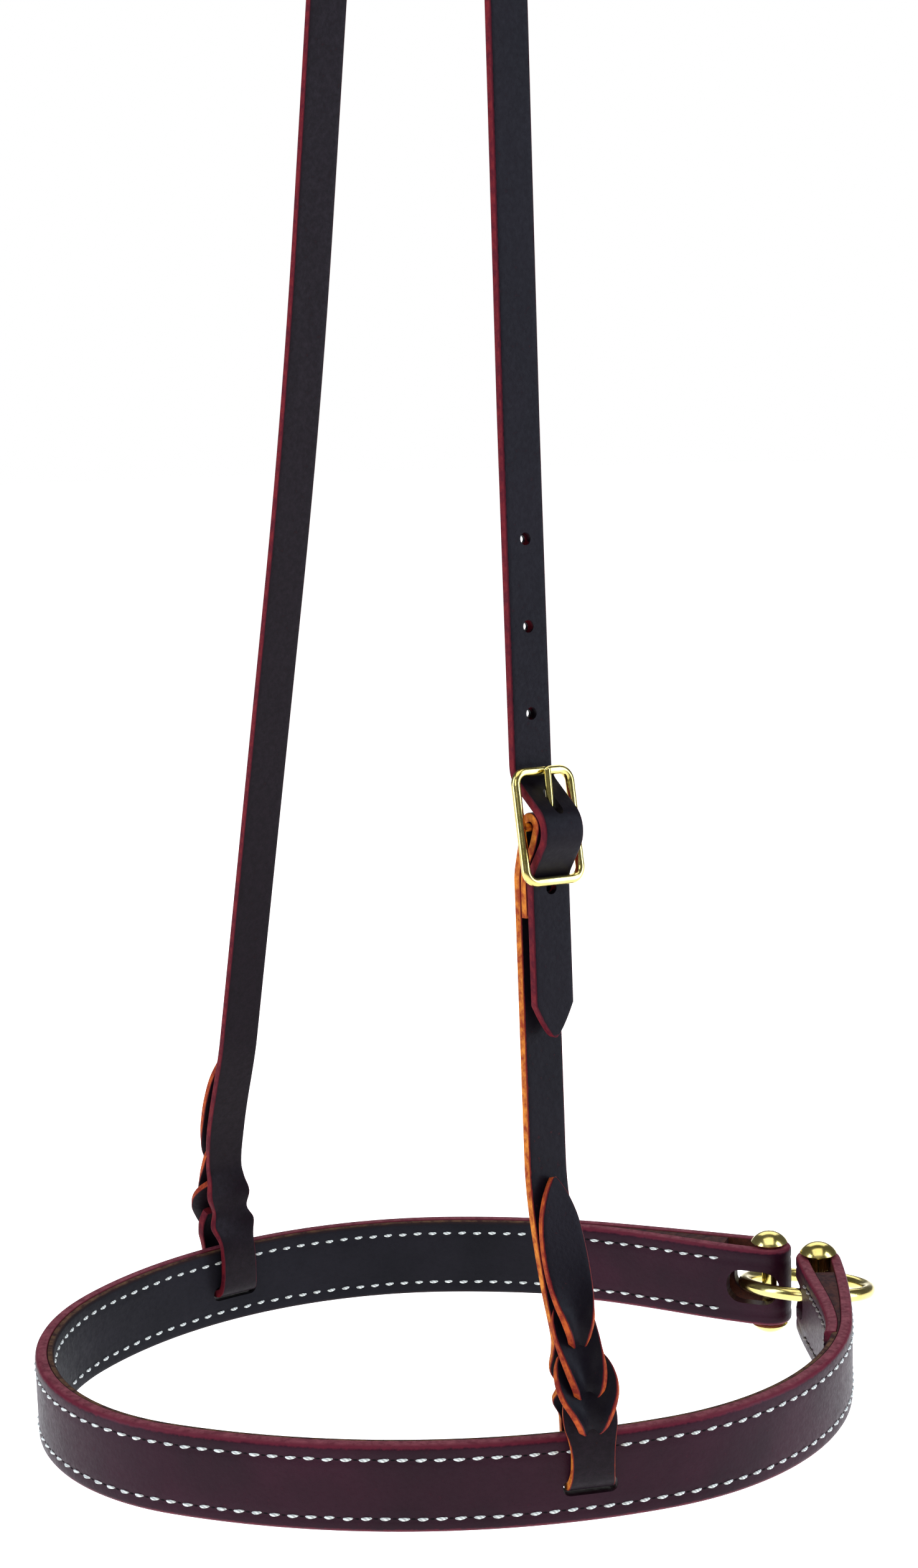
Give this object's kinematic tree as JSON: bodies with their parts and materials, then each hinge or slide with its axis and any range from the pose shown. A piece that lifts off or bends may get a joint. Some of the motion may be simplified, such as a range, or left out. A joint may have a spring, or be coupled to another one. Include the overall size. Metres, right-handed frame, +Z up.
{
  "type": "bitless hackamore",
  "caption": "Stitched leather noseband loop closed by a brass ring and two brass pins, hung from a narrow buckled leather crown strap with knotted ends.",
  "frame": {"origin": "point under the crown of the hanger where the strap rests on the horse's poll", "axes": "+Z up, +X towards the ring end of the noseband, -Y towards the near side, which has the buckle"},
  "size_m": [0.2608, 0.1828, 0.5028],
  "materials": {
    "burgundy_leather": "burnished, waxed",
    "lining_leather": "smooth, matte",
    "strap_leather": "oiled latigo, dyed edges",
    "thread": "waxed twisted thread",
    "brass": "polished"
  },
  "bodies": {
    "hanger": {"crown_strap": "strap_leather", "near_cheek_strap": "strap_leather"},
    "noseband": {"noseband_outer": "burgundy_leather", "noseband_lining": "lining_leather", "far_filler": "lining_leather", "near_filler": "lining_leather", "far_fold_lower_stitches": "thread", "far_fold_upper_stitches": "thread", "inner_lower_stitches": "thread", "inner_upper_stitches": "thread", "near_fold_lower_stitches": "thread", "near_fold_upper_stitches": "thread", "outer_lower_stitches": "thread", "outer_upper_stitches": "thread"},
    "near_pin": {"near_pin_bottom_head": "brass", "near_pin_post": "brass", "near_pin_top_head": "brass"},
    "far_pin": {"far_pin_bottom_head": "brass", "far_pin_post": "brass", "far_pin_top_head": "brass"},
    "ring": {"tie_down_ring": "brass"},
    "buckle": {"buckle_frame": "brass"},
    "tongue": {"buckle_tongue": "brass"}
  },
  "joints": [
    {"name": "noseband_pitch", "type": "hinge", "parent": "hanger", "child": "noseband", "pos_m": [0.03313, -0.08902, -0.4855], "axis": [-0.5775, 0.8164, 0], "range_deg": [-6, 6]},
    {"name": "near_pin_spin", "type": "hinge", "parent": "noseband", "child": "near_pin", "pos_m": [0.11246, 0.04166, -0.4833], "axis": [0, 0, 1], "continuous": true},
    {"name": "far_pin_spin", "type": "hinge", "parent": "noseband", "child": "far_pin", "pos_m": [0.0982, 0.0527, -0.4833], "axis": [0, 0, 1], "continuous": true},
    {"name": "ring_swing", "type": "hinge", "parent": "noseband", "child": "ring", "pos_m": [0.1105, 0.0549, -0.4858], "axis": [0.9969, 0, -0.0785], "range_deg": [0, 10]},
    {"name": "buckle_swing", "type": "hinge", "parent": "hanger", "child": "buckle", "pos_m": [0.02609, -0.06849, -0.30627], "axis": [-0.8149, -0.5765, 0.0595], "range_deg": [0, 3]},
    {"name": "tongue_swing", "type": "hinge", "parent": "buckle", "child": "tongue", "pos_m": [0.02609, -0.06849, -0.30627], "axis": [-0.8149, -0.5765, 0.0595], "range_deg": [-5, 0]}
  ]
}
